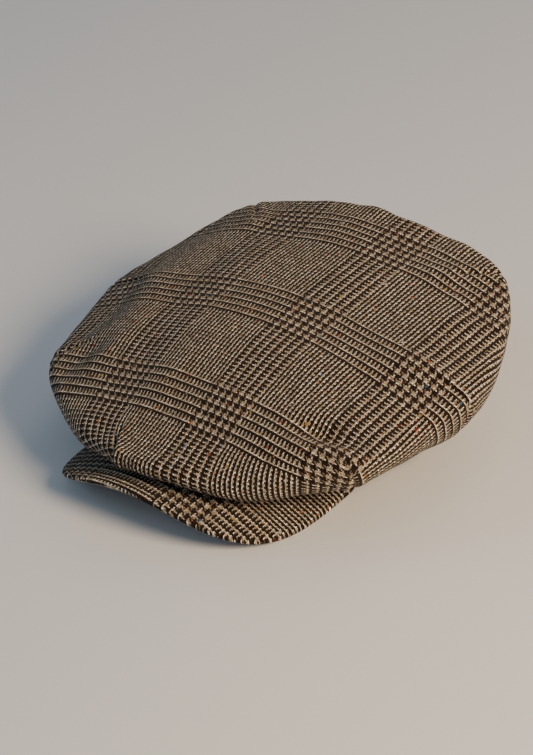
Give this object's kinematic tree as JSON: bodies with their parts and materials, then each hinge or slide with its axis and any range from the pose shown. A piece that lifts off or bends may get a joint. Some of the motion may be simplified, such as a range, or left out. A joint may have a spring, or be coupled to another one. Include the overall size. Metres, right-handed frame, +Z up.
{
  "type": "newsboy cap",
  "caption": "Wide tweed cap with a one-piece darted crown, a head band and a short arched visor that the crown's front is tacked to.",
  "frame": {"origin": "centre of the head opening, in the plane of the band's lower edge at the sides and back", "axes": "+Z up through the crown, -Y towards the visor, +X towards the wearer's left"},
  "size_m": [0.3046, 0.2653, 0.1027],
  "materials": {
    "tweed": "woollen twill in a fine dark brown and cream check, with coloured flecks",
    "tweed_inside": "the same tweed, cut edges",
    "interlining": "matte stiff canvas",
    "lining": "smooth satin lining",
    "sweatband": "ribbed cotton tape",
    "thread": "matte sewing thread",
    "dark_thread": "matte sewing thread",
    "visor_board": "plain moulded sheet"
  },
  "bodies": {
    "root": {"crown_shell": "tweed", "crown_interlining": "interlining", "dart_seams": "tweed_inside", "lining_tip": "lining", "lining_side": "lining", "outer_band": "tweed", "band_stiffener": "interlining", "sweatband": "sweatband", "sweatband_stitches": "thread", "sweatband_back_tab": "sweatband", "visor_top_cover": "tweed", "visor_board": "visor_board", "visor_under_cover": "tweed", "visor_seam_stitches": "thread", "front_tack_stitches": "dark_thread"}
  },
  "joints": []
}
